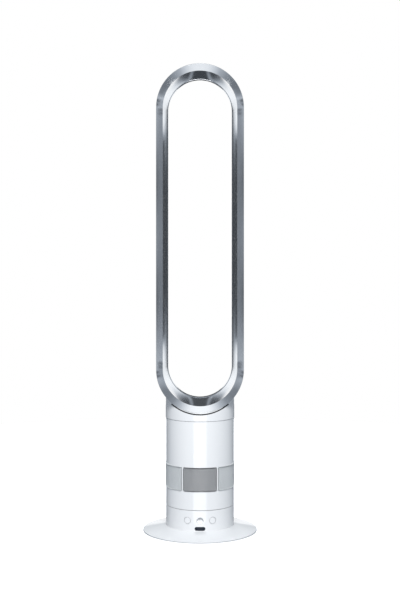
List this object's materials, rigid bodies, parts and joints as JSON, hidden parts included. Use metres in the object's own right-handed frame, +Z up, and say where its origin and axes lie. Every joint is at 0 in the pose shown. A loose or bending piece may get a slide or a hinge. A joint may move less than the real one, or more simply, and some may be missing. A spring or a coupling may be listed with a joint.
{
  "type": "bladeless fan",
  "caption": "Bladeless tower fan: a tall open loop blowing air from a rear slot, on a round oscillating body with an inlet band, buttons and dial, standing on a disc base.",
  "frame": {"origin": "centre of the foot plane, under the body's axis", "axes": "+Z up along the body's axis, -Y towards the front with the controls"},
  "size_m": [0.247, 0.247, 1.0069],
  "materials": {
    "white_plastic": "gloss",
    "silver_paint": "metallic paint",
    "grey_plastic": "matte",
    "dark_plastic": "matte",
    "grille_metal": "satin",
    "rubber": "matte",
    "steel": "machined",
    "copper": "wound",
    "circuit_board": "solder mask",
    "signal_lens": "gloss",
    "foam": "open cell"
  },
  "bodies": {
    "base": {"base_plate": "white_plastic", "under_cover": "dark_plastic", "rubber_feet": "rubber", "base_weight": "steel", "base_screws": "steel", "lower_casing": "white_plastic", "control_board": "circuit_board", "board_parts": "dark_plastic", "button_switches": "dark_plastic", "dial_encoder": "dark_plastic", "signal_receiver": "dark_plastic", "signal_window": "signal_lens", "power_spring": "steel", "swing_spring": "steel", "cord_gland": "grey_plastic", "swing_deck": "grey_plastic", "deck_screws": "steel", "glide_ring": "grey_plastic", "spindle_clip": "steel", "swing_motor": "steel"},
    "turret": {"swing_gear": "grey_plastic", "turntable": "grey_plastic", "table_screws": "steel", "body_floor": "grey_plastic", "body_shell": "white_plastic", "inlet_panel_1": "grille_metal", "inlet_panel_2": "grille_metal", "inlet_panel_3": "grille_metal", "inlet_panel_4": "grille_metal", "inlet_panel_5": "grille_metal", "inlet_panel_6": "grille_metal", "floor_foam": "foam", "inlet_ring": "grey_plastic", "impeller_housing": "grey_plastic", "lip_seal": "rubber", "housing_mounts": "rubber", "motor_stator": "copper", "motor_bearings": "steel", "motor_bucket": "grey_plastic", "bucket_cap": "grey_plastic", "bucket_foam": "foam", "motor_lead": "rubber", "lead_grommet": "rubber", "body_ring": "grey_plastic", "duct_seal": "rubber", "catch_spring": "steel", "loop_collar": "white_plastic", "saddle_gasket": "rubber", "loop_casing": "silver_paint", "loop_liner": "silver_paint", "slot_spacers": "grey_plastic"},
    "rotor": {"motor_shaft": "steel", "rotor_magnet": "steel", "impeller": "grey_plastic", "impeller_shroud": "grey_plastic"},
    "swing_pinion": {"swing_pinion": "grey_plastic"},
    "power_button": {"power_button": "white_plastic"},
    "swing_button": {"swing_button": "white_plastic"},
    "airflow_dial": {"airflow_dial": "white_plastic"},
    "catch_button": {"catch_button": "white_plastic"}
  },
  "joints": [
    {"name": "body_swing", "type": "hinge", "parent": "base", "child": "turret", "pos_m": [0, 0, 0.05], "axis": [0, 0, 1], "range_deg": [-45, 45]},
    {"name": "pinion_spin", "type": "hinge", "parent": "base", "child": "swing_pinion", "pos_m": [0, 0.039, 0.05], "axis": [0, 0, 1], "range_deg": [-151, 151]},
    {"name": "impeller_spin", "type": "hinge", "parent": "turret", "child": "rotor", "pos_m": [0, 0, 0.19], "axis": [0, 0, 1], "continuous": true},
    {"name": "power_press", "type": "slide", "parent": "base", "child": "power_button", "axis": [0.3665, 0.9304, 0], "range_m": [0, 0.0015], "stiffness_N_per_m": 700, "springref_m": -0.0004, "deforming": ["power_spring"]},
    {"name": "swing_press", "type": "slide", "parent": "base", "child": "swing_button", "axis": [-0.3665, 0.9304, 0], "range_m": [0, 0.0015], "stiffness_N_per_m": 700, "springref_m": -0.0004, "deforming": ["swing_spring"]},
    {"name": "airflow_turn", "type": "hinge", "parent": "base", "child": "airflow_dial", "pos_m": [0, -0.07, 0.0362], "axis": [0, -1, 0], "range_deg": [-135, 135]},
    {"name": "catch_press", "type": "slide", "parent": "turret", "child": "catch_button", "axis": [-1, 0, 0], "range_m": [0, 0.002], "stiffness_N_per_m": 1200, "springref_m": -0.0004, "deforming": ["catch_spring"]}
  ],
  "couplings": [
    {"joint": "pinion_spin", "follows": "body_swing", "ratio": -3.3333}
  ]
}
